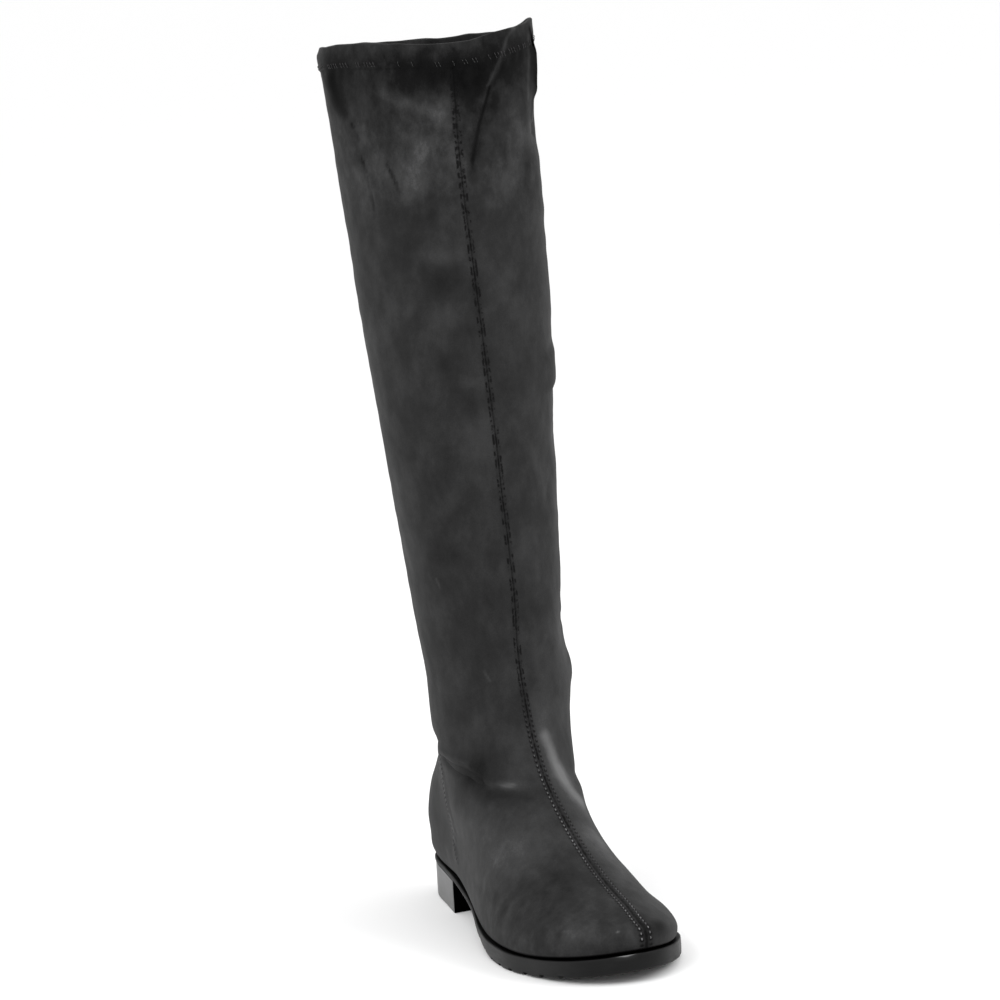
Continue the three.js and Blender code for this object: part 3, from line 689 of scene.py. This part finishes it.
class Threads:
    """Stitches gathered into one mesh: each a short spindle that sinks into the surface at both ends."""

    # share of the way, share of the radius, rise
    PROFILE = [
        (0, 0.25, -0.28), (0.12, 0.8, 0), (0.35, 1, 0.18), (0.65, 1, 0.18), (0.88, 0.8, 0), (1, 0.25, -0.28),
    ]
    SIDES = 6

    def __init__(self):
        self.verts, self.faces, self.light = [], [], []

    def add(self, start, end, normal, radius, light):
        way = end - start
        length = np.linalg.norm(way)
        if length < 0.2:
            return
        way = way / length
        side = np.cross(way, normal)
        side /= np.linalg.norm(side)
        lift = np.cross(side, way)
        base = len(self.verts)
        for share, size, rise in self.PROFILE:
            middle = start + way * length * share + lift * (rise + 0.1)
            for k in range(self.SIDES):
                a = 2 * math.pi * k / self.SIDES
                self.verts.append(middle + radius * size * (math.cos(a) * side + math.sin(a) * lift))
                self.light.append(light)
        last = (len(self.PROFILE) - 1) * self.SIDES
        for ring in range(len(self.PROFILE) - 1):
            for k in range(self.SIDES):
                n = (k + 1) % self.SIDES
                a = base + ring * self.SIDES
                b = a + self.SIDES
                self.faces.append((a + k, b + k, b + n, a + n))
        self.faces.append(tuple(base + k for k in range(self.SIDES)))
        self.faces.append(tuple(base + last + k for k in reversed(range(self.SIDES))))

    def row(self, path, normals, pitch, gap, radius_at, light_at):
        """Stitches end to end along a path."""
        run = run_along(path)
        for i in range(int(run[-1] // pitch)):
            a, b = i * pitch + gap / 2, (i + 1) * pitch - gap / 2
            start, middle, end = (spot_at(d, run, path) for d in (a, (a + b) / 2, b))
            normal = spot_at((a + b) / 2, run, normals)
            self.add(start, end, normal, radius_at(middle), light_at(middle))

    def build(self, name):
        obj = make_object(name, self.verts, self.faces)
        add_measure(obj, "light", self.light)
        return obj


def column_path(surface, side, first, last):
    """The line of one stitch row of the front seam, up the surface."""
    path, normals = [], []
    for r in range(first, last):
        offset = side * float(seam_row(surface.points[r, 0, 2]))
        order = np.argsort(surface.from_seam[r])
        from_seam = surface.from_seam[r][order]
        path.append(spot_at(offset, from_seam, surface.points[r][order]))
        normals.append(spot_at(offset, from_seam, surface.normals[r][order]))
    return np.array(path), np.array(normals)


def rim_path(surface, below):
    """The line round the shaft that stays a distance below the rim."""
    path, normals = [], []
    for k in range(surface.points.shape[1]):
        down = surface.below_rim[::-1, k]
        path.append(spot_at(below, down, surface.points[::-1, k]))
        normals.append(spot_at(below, down, surface.normals[::-1, k]))
    path.append(path[0])
    normals.append(normals[0])
    return np.array(path), np.array(normals)


def resample(path, step):
    run = run_along(path)
    spots = np.linspace(0, run[-1], max(2, round(run[-1] / step) + 1))
    return np.stack([np.interp(spots, run, path[:, k]) for k in range(path.shape[1])], -1)


def counter_path(surface, side):
    """The counter seam on one side, from the back of the ankle down to the sole."""
    seam = MEDIAL_COUNTER_SEAM if side > 0 else LATERAL_COUNTER_SEAM
    plan = resample(np.array(seam, float), COUNTER_STEP)
    flat = surface.points.reshape(-1, 3)
    spots = flat[(flat[:, 1] - MIDDLE_Y) * side > 0]
    lined = spots[[np.argmin((spots[:, 0] - x) ** 2 + (spots[:, 2] - z) ** 2) for x, z in plan]]
    for _ in range(6):
        lined[1:-1] = (lined[:-2] + 2 * lined[1:-1] + lined[2:]) / 4
    return resample(lined, COUNTER_STEP)


def stitch_front_seam(threads, surface, rng):
    last_row = int(np.argmax(surface.points[:, 0, 2] > SEAM_THREADS_TO))

    def radius(p):
        return 0.17 + 0.23 * (1 - float(smoothstep(105, 135, p[2])))

    for side, shades in SEAM_SHADES:
        path, normals = column_path(surface, side, 3, last_row)

        def light(p):
            return float(np.interp(p[2], *shades)) * rng.uniform(0.5, 1.1)

        threads.row(path, normals, SEAM_PITCH, SEAM_THREAD_GAP, radius, light)


def stitch_hem(threads, surface, rng):
    """A slanting row of worn stitches, each in two short threads."""
    upper, upper_normals = rim_path(surface, HEM_THREADS_FROM)
    lower, _ = rim_path(surface, HEM_THREADS_TO)
    run = run_along(upper)
    count = int(round(run[-1] / HEM_THREAD_PITCH))
    round_degrees = np.append(np.unwrap(surface.degrees, period=360), 360)
    for i in range(count):
        slant, jitter, fade = rng.uniform(0.2, 0.9), rng.normal(0, 0.2, 3), rng.uniform(0, 1)
        here = run[-1] * i / count
        place = (np.interp(here, run, round_degrees) + 180) % 360 - 180
        lights = [light for first, end, light in HEM_MARKS if first <= place <= end]
        if fade < 0.25 or (not lights and fade < 0.8):
            continue
        a, b = spot_at(here, run, upper), spot_at(run[-1] * (i + slant) / count, run, lower)
        normal = spot_at(here, run, upper_normals)
        middle = (a + b) / 2 + jitter
        shade = (lights[0] if lights else 0.02) * fade
        threads.add(a, middle, normal, 0.23, shade)
        threads.add(middle, b, normal, 0.20, shade * 0.5)


def stitch_counter(threads, surface, side, radius, shade):
    """The two rows of one counter seam."""
    spots, normals = surface.snap(counter_path(surface, side))
    across = np.cross(np.gradient(spots, axis=0), normals)
    across /= np.linalg.norm(across, axis=1, keepdims=True)
    for offset in (-COUNTER_ROW_OFFSET, COUNTER_ROW_OFFSET):
        row, row_normals = surface.snap(spots + offset * across)
        threads.row(row, row_normals, COUNTER_PITCH, COUNTER_THREAD_GAP, lambda p: radius, lambda p: shade)


def make_stitches(surface):
    threads = Threads()
    rng = np.random.default_rng(4)
    stitch_front_seam(threads, surface, rng)
    stitch_hem(threads, surface, rng)
    stitch_counter(threads, surface, 1, 0.26, 0.16)
    stitch_counter(threads, surface, -1, 0.19, 0.42)
    return threads.build("stitching")


# ---- sole, heel and sock


def groove_cutter():
    """One mesh of bars, a bar for each groove of the tread."""
    verts, faces = [], []
    half, reach, below = GROOVE_WIDTH / 2, 80, -6
    for i in range(GROOVE_COUNT):
        x = FIRST_GROOVE_X + i * GROOVE_PITCH
        roof = float(sole_bottom(x)) + GROOVE_DEPTH
        a = len(verts)
        for y in (-reach, reach):
            verts += [(x - half, y, below), (x + half, y, below)]
            verts += [(x + half - 0.3, y, roof), (x - half + 0.3, y, roof)]
        faces += [(a, a + 1, a + 2, a + 3), (a + 7, a + 6, a + 5, a + 4)]
        for k in range(4):
            n = (k + 1) % 4
            faces.append((a + k, a + 4 + k, a + 4 + n, a + n))
    cutter = make_object("groove_cutter", verts, faces)
    cutter.data.polygons.foreach_set("use_smooth", [False] * len(cutter.data.polygons))
    return cutter


def make_outsole():
    plan = sole_outline(360, 0.3)
    around = len(plan)
    rings = []
    for inset, share, rise in SOLE_RINGS:
        drawn = inset_plan(plan, inset)
        low, high = sole_bottom(drawn[:, 0]), sole_top(drawn[:, 0])
        rings.append(np.column_stack([drawn, low * (1 - share) + high * share + rise]))
    rings = np.array(rings)
    sole = make_object("rubber_outsole", rings.reshape(-1, 3), capped_faces(len(rings), around), 40)
    # less gloss and painted shade: on the top edge under the upper, and over the heel part and the toe
    painted_shade_and_dull = np.zeros((len(rings), around))
    painted_shade_and_dull[EDGE_RING:] = np.array([0, 0.7, 1, 1])[:, None]
    at_heel = 1 - smoothstep(80, 130, rings[..., 0])
    at_toe = smoothstep(190, 225, rings[..., 0])
    add_measure(sole, "painted_shade_and_dull", np.maximum(painted_shade_and_dull, 0.7 * at_heel + 0.4 * at_toe))
    # a painted highlight along the top edge at the toe
    start, end = np.array(GLINT)
    way = end - start
    along = np.clip((rings[..., :2] - start) @ way / (way @ way), 0, 1)
    off = np.linalg.norm(rings[..., :2] - start - along[..., None] * way, axis=-1)
    taper = np.sin(math.pi * along)
    glint = bell(off, GLINT_WIDTH) * (0.45 + 0.55 * taper)
    glint[:EDGE_RING] = 0
    glint[EDGE_RING] *= 0.8 * taper[EDGE_RING]
    glint[EDGE_RING + 2:] = 0
    add_measure(sole, "glint", glint)
    cutter = groove_cutter()
    cut = sole.modifiers.new("grooves", "BOOLEAN")
    cut.operation, cut.solver, cut.object = "DIFFERENCE", "EXACT", cutter
    finished(sole)
    bpy.data.objects.remove(cutter)
    sole.data.set_sharp_from_angle(angle=math.radians(40))
    return sole


def heel_ring(plan, inset):
    """The heel's outline at an inset: the sole's back arc, closed by the straight breast."""
    arc = inset_plan(plan, inset)[plan[:, 0] <= HEEL_BREAST_X]
    arc = arc[arc[:, 0] <= HEEL_BREAST_X]
    arc = resample(arc, run_along(arc)[-1] / HEEL_ARC_STEPS)
    arc[0, 0] = arc[-1, 0] = HEEL_BREAST_X
    across = [arc[-1] + (arc[0] - arc[-1]) * t for t in np.linspace(0, 1, 18)[1:-1]]
    return np.concatenate([arc, across])


def make_heel():
    plan = sole_outline(480)
    rings = []
    for inset, z in HEEL_LEVELS:
        ring = heel_ring(plan, inset)
        rings.append(np.column_stack([ring, np.full(len(ring), z)]))
    low_inset, low_z = HEEL_LEVELS[-1]
    for share in (0.25, 0.5, 0.75, 1.0):
        ring = heel_ring(plan, low_inset + (HEEL_TOP_INSET - low_inset) * share)
        top = sole_bottom(ring[:, 0]) - FIT_GAP
        rings.append(np.column_stack([ring, low_z + (top - low_z) * share]))
    around = len(rings[0])
    faces = [tuple(range(around))[::-1]] + loop_faces(len(rings), around, False)
    faces.append(tuple(range((len(rings) - 1) * around, len(rings) * around)))
    heel = make_object("heel_block_skin", np.concatenate(rings), faces)
    bevel = heel.modifiers.new("edge", "BEVEL")
    bevel.width, bevel.segments, bevel.limit_method, bevel.angle_limit = 0.0007, 3, "ANGLE", math.radians(50)
    finished(heel)
    polygons = heel.data.polygons
    polygons.foreach_set("use_smooth", [True] * len(polygons))
    heel.data.set_sharp_from_angle(angle=math.radians(40))
    # the breast's faces take the second material, a copy of the heel's plastic painted with shade
    facing = np.array([p.normal.x > 0.9 and p.center.x > (HEEL_BREAST_X - 1) * MM for p in polygons])
    polygons.foreach_set("material_index", facing.astype(int))
    return heel


def make_sock(surface):
    """The insole with its sock lining, just inside the upper."""
    ring = surface.points[0][::2]
    plan = inset_plan(ring[:, :2], SOCK_INSET + CURVED_GAP)
    rings = []
    for inset, rise in SOCK_RINGS:
        drawn = inset_plan(plan, inset)
        rings.append(np.column_stack([drawn, sole_top(drawn[:, 0]) + rise]))
    return make_object("sock_insole", np.concatenate(rings), capped_faces(len(rings), len(plan)), 50)


# ---- materials


class Nodes:
    """Short ways to write a material's nodes."""

    def __init__(self, name):
        self.material = bpy.data.materials.new(name)
        self.material.use_nodes = True
        self.tree = self.material.node_tree
        self.shader = self.tree.nodes["Principled BSDF"]

    def link(self, value, socket):
        if isinstance(value, bpy.types.NodeSocket):
            self.tree.links.new(value, socket)
        else:
            socket.default_value = value

    def node(self, kind, **inputs):
        """A new node with its inputs set or linked."""
        node = self.tree.nodes.new("ShaderNode" + kind)
        for name, value in inputs.items():
            self.link(value, node.inputs[name])
        return node

    def math(self, operation, a, b=0.0, c=0.0, clamp=False):
        node = self.node("Math")
        node.operation, node.use_clamp = operation, clamp
        for value, socket in zip((a, b, c), node.inputs):
            self.link(value, socket)
        return node.outputs[0]

    def plus(self, a, b, clamp=False):
        return self.math("ADD", a, b, clamp=clamp)

    def minus(self, a, b, clamp=False):
        return self.math("SUBTRACT", a, b, clamp=clamp)

    def times(self, a, b):
        return self.math("MULTIPLY", a, b)

    def slope(self, value, steepness, start, clamp=False):
        return self.math("MULTIPLY_ADD", value, steepness, start, clamp)

    def near(self, value, middle, width):
        """1 where value is near the middle, falling to 0 a width away."""
        gap = self.math("ABSOLUTE", self.minus(value, middle))
        return self.minus(1.0, self.math("DIVIDE", gap, width), clamp=True)

    def measure(self, name):
        node = self.node("Attribute")
        node.attribute_name = name
        return node.outputs["Fac"]

    def place(self, stretch=(1, 1, 1)):
        source = self.node("TexCoord").outputs["Object"]
        return self.node("Mapping", Scale=stretch, Vector=source).outputs[0]

    def noise(self, place, scale, detail, roughness=0.55, distortion=0.0):
        looks = {"Scale": scale, "Detail": detail, "Roughness": roughness, "Distortion": distortion}
        return self.node("TexNoise", Vector=place, **looks).outputs[0]

    def colour(self, value, stops):
        """The base colour: greys over the value."""
        node = self.node("ValToRGB")
        elements = node.color_ramp.elements
        while len(elements) < len(stops):
            elements.new(0.5)
        for element, (at, grey) in zip(elements, stops):
            element.position = at
            element.color = (grey, grey, grey * 1.01, 1)
        self.link(value, node.inputs[0])
        self.link(node.outputs[0], self.shader.inputs["Base Color"])

    def bump(self, height, distance, strength):
        node = self.node("Bump", Distance=distance, Strength=strength, Height=height)
        self.link(node.outputs[0], self.shader.inputs["Normal"])

    def sheen(self, weight, roughness, grey):
        for name, value in (("Weight", weight), ("Roughness", roughness), ("Tint", (grey, grey, grey, 1))):
            self.shader.inputs["Sheen " + name].default_value = value

    def gloss(self, roughness, specular):
        self.link(roughness, self.shader.inputs["Roughness"])
        self.shader.inputs["Specular IOR Level"].default_value = specular


def suede_material():
    n = Nodes("microsuede")
    place, brushed = n.place(), n.place((1, 1, 0.7))
    nap, mottle = n.measure("nap"), n.measure("mottle")
    broad = n.noise(brushed, 34, 3, 0.6, 0.4)
    middle = n.noise(brushed, 120, 4, 0.62)
    grain = n.noise(place, 1500, 2, 0.7)
    broken = n.noise(place, 330, 2, 0.6)
    # the nap's shade with its painted light and shade, unevenly brushed
    blotch = n.times(n.minus(middle, 0.5), mottle)
    shade = n.plus(n.slope(nap, 0.62, 0.44), n.times(n.minus(broad, 0.5), 0.28))
    shade = n.plus(shade, n.times(blotch, 0.68))
    shade = n.plus(shade, n.times(n.minus(grain, 0.5), 0.16))
    # the front seam: its dark join, painted shade in the holes of its two rows, which are only worn scraps up
    # the shaft, and painted shade down its trough
    rows, stitched = n.math("ABSOLUTE", n.measure("seam_rows")), n.measure("stitched")
    beat = n.math("PINGPONG", n.math("DIVIDE", n.measure("seam_run"), SEAM_PITCH), 0.5)
    gate = n.slope(broken, 7.0, -3.2, clamp=True)
    holes = n.times(stitched, n.near(beat, 0.0, 0.38))
    scraps = n.times(n.minus(1.0, stitched), gate)
    hole = n.times(n.near(rows, 1.0, n.slope(mottle, 0.35, 0.4)), n.plus(holes, scraps))
    join = n.times(n.near(rows, 0.0, 0.52), n.slope(gate, 0.8, 0.24))
    dark = n.plus(n.times(hole, 1.5), n.times(join, 1.3), clamp=True)
    dark = n.plus(dark, n.times(n.near(rows, 0.0, 2.0), 0.18), clamp=True)
    dark = n.times(dark, n.measure("seam_show"))
    # the hem's lower edge and its worn stitch row
    below = n.measure("below_rim")
    dark = n.plus(dark, n.times(n.near(below, HEM_HEIGHT + 0.4, 0.9), 0.25), clamp=True)
    dark = n.plus(dark, n.times(n.near(below, HEM_ROW, 2.4), n.times(gate, 0.35)), clamp=True)
    dark = n.times(dark, n.measure("outside"))
    shade = n.times(shade, n.minus(1.0, n.times(dark, 0.75)))
    n.colour(shade, [(0.0, 0.001), (0.2, 0.004), (0.42, 0.017), (0.62, 0.036), (1.0, 0.12)])
    # sheen and gloss fade where the nap lies dark or painted shade darkens it
    faint = n.times(n.slope(nap, 1.3, 1.25, clamp=True), 0.12)
    n.sheen(0.12, 0.45, 0.6)
    n.link(faint, n.shader.inputs["Sheen Weight"])
    n.gloss(0.92, 0.12)
    n.link(faint, n.shader.inputs["Specular IOR Level"])
    height = n.plus(n.times(grain, 0.5), n.times(middle, 0.6))
    n.bump(n.minus(height, n.times(hole, 1.6)), 0.00035, 0.55)
    return n.material


def lining_material():
    n = Nodes("knit_lining")
    place = n.place()
    knit = n.node("TexWave", Scale=260, Distortion=1.5, Vector=place)
    knit.bands_direction = "Z"
    mix = n.slope(knit.outputs["Fac"], 0.25, n.times(n.noise(place, 900, 2), 0.6))
    n.colour(mix, [(0.2, 0.0035), (0.8, 0.010)])
    n.gloss(0.95, 0.1)
    n.sheen(0.05, 0.5, 0.4)
    n.bump(mix, 0.0003, 0.6)
    return n.material


def thread_material():
    n = Nodes("thread")
    twist = n.noise(n.place(), 2400, 2)
    value = n.plus(n.times(n.measure("light"), 0.75), n.times(twist, 0.2))
    n.colour(value, [(0.0, 0.008), (0.3, 0.026), (0.6, 0.09), (1.0, 0.20)])
    n.gloss(0.6, 0.35)
    n.bump(twist, 0.0001, 0.5)
    return n.material


def rubber_material():
    n = Nodes("sole_rubber")
    place, painted_shade_and_dull = n.place(), n.measure("painted_shade_and_dull")
    cloud = n.noise(place, 55, 4)
    scuff = n.noise(n.place((1, 1, 5)), 120, 4, 0.7)
    value = n.plus(n.times(cloud, 0.5), n.times(scuff, 0.4))
    # painted shade on the top edge, the heel part and the toe
    value = n.times(value, n.minus(1.0, n.times(painted_shade_and_dull, 0.9)))
    # the painted highlight on the top edge at the toe
    value = n.plus(value, n.measure("glint"))
    n.colour(value, [(0.1, 0.0008), (0.3, 0.0036), (0.62, 0.0095), (0.8, 0.02), (1.0, 0.18)])
    n.gloss(n.slope(scuff, 0.3, 0.32), 0.24)
    n.link(n.slope(painted_shade_and_dull, -0.22, 0.24), n.shader.inputs["Specular IOR Level"])
    n.bump(n.plus(n.noise(place, 1400, 2), n.times(cloud, 0.6)), 0.00012, 0.35)
    return n.material


def heel_material(name, dark, specular):
    n = Nodes(name)
    cloud = n.noise(n.place(), 60, 4)
    lines = n.noise(n.place((1, 1, 9)), 90, 3, 0.6)
    value = n.plus(n.times(cloud, 0.5), n.times(lines, 0.45))
    n.colour(value, [(0.3, 0.055 * dark), (0.62, 0.10 * dark), (0.85, 0.15 * dark)])
    n.gloss(n.slope(lines, 0.25, 0.32), specular)
    n.bump(n.plus(lines, cloud), 0.0001, 0.3)
    return n.material


def floor_material():
    n = Nodes("pale_floor")
    n.shader.inputs["Base Color"].default_value = (0.93, 0.93, 0.93, 1)
    n.gloss(0.9, 0.1)
    return n.material


def dress(obj, materials, body_slot, *nodes):
    indices = [p.material_index for p in obj.data.polygons]
    obj.data.materials.clear()
    for material in materials:
        obj.data.materials.append(material)
    obj.data.polygons.foreach_set("material_index", indices)
    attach(obj, "root")
    if nodes:
        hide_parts(*nodes)


# ---- the boot

surface = Surface(SURFACE_COLUMNS, RING_STEP, SEAM_CROWDING)
shape_upper(surface)
dress(make_shell(surface), [suede_material()], "microsuede", "upper")
lining = lining_material()
dress(make_lining(surface), [lining], "lining")
dress(make_stitches(surface), [thread_material()], "microsuede")
dress(make_sock(surface), [lining], "lining", "insole")
dress(make_outsole(), [rubber_material()], "sole_rubber", "outsole")
# the breast is a near-black copy of the heel's plastic: painted shade
heel_skins = [heel_material("heel_plastic", 1.0, 0.5), heel_material("heel_breast_painted_shade", 0.01, 0.0)]
dress(make_heel(), heel_skins, "heel_plastic", "heel_block")

# ---- floor, light and camera

CAMERA_SPOT = Vector((2.3530, -0.9426, 0.6764))
CAMERA_AZIMUTH = 67.384
CAMERA_ELEVATION = 9.853
CAMERA_ROLL = -4.28
CAMERA_LENS = 158.4
FLOOR_REACH = 60000
AIM = Vector((0.06, 0, 0.22))
# Name, metres to the camera's right, towards it and up from the aim, size, power.
LIGHTS = (("key", -1.1, 1.2, 1.5, 1.2, 16), ("fill", 1.5, 0.5, 0.9, 1.0, 12))
WORLD_STRENGTH = 1.07


def make_floor():
    corners = [(x * FLOOR_REACH, y * FLOOR_REACH, 0) for x, y in ((-1, -1), (1, -1), (1, 1), (-1, 1))]
    floor = make_object("floor", corners, [(0, 1, 2, 3)])
    floor.data.materials.append(floor_material())


def make_light(name, right, near, up, size, power):
    a = math.radians(CAMERA_AZIMUTH)
    spot = AIM + Vector((math.cos(a), math.sin(a), 0)) * right + Vector((math.sin(a), -math.cos(a), 0)) * near
    spot += Vector((0, 0, up))
    data = bpy.data.lights.new(name, "AREA")
    data.shape, data.size, data.energy = "DISK", size, power
    light = bpy.data.objects.new(name, data)
    light.location = spot
    light.rotation_euler = (AIM - spot).to_track_quat("-Z", "Y").to_euler()
    bpy.context.scene.collection.objects.link(light)


def make_camera():
    data = bpy.data.cameras.new("camera")
    data.lens, data.sensor_width, data.clip_end = CAMERA_LENS, 36, 200
    camera = bpy.data.objects.new("camera", data)
    a, e, roll = map(math.radians, (CAMERA_AZIMUTH, CAMERA_ELEVATION, CAMERA_ROLL))
    right = Vector((math.cos(a), math.sin(a), 0))
    ahead = Vector((-math.sin(a) * math.cos(e), math.cos(a) * math.cos(e), -math.sin(e)))
    up = right.cross(ahead)
    turned_right = right * math.cos(roll) + up * math.sin(roll)
    turned_up = up * math.cos(roll) - right * math.sin(roll)
    turn = Matrix((turned_right, turned_up, -ahead)).transposed().to_4x4()
    camera.matrix_world = Matrix.Translation(CAMERA_SPOT) @ turn
    bpy.context.scene.collection.objects.link(camera)
    bpy.context.scene.camera = camera


make_floor()
make_camera()
for light in LIGHTS:
    make_light(*light)
world = bpy.data.worlds.new("world")
world.use_nodes = True
backdrop = world.node_tree.nodes["Background"]
backdrop.inputs["Color"].default_value = (1, 1, 1, 1)
backdrop.inputs["Strength"].default_value = WORLD_STRENGTH
bpy.context.scene.world = world
bpy.context.scene.view_settings.view_transform = "Standard"
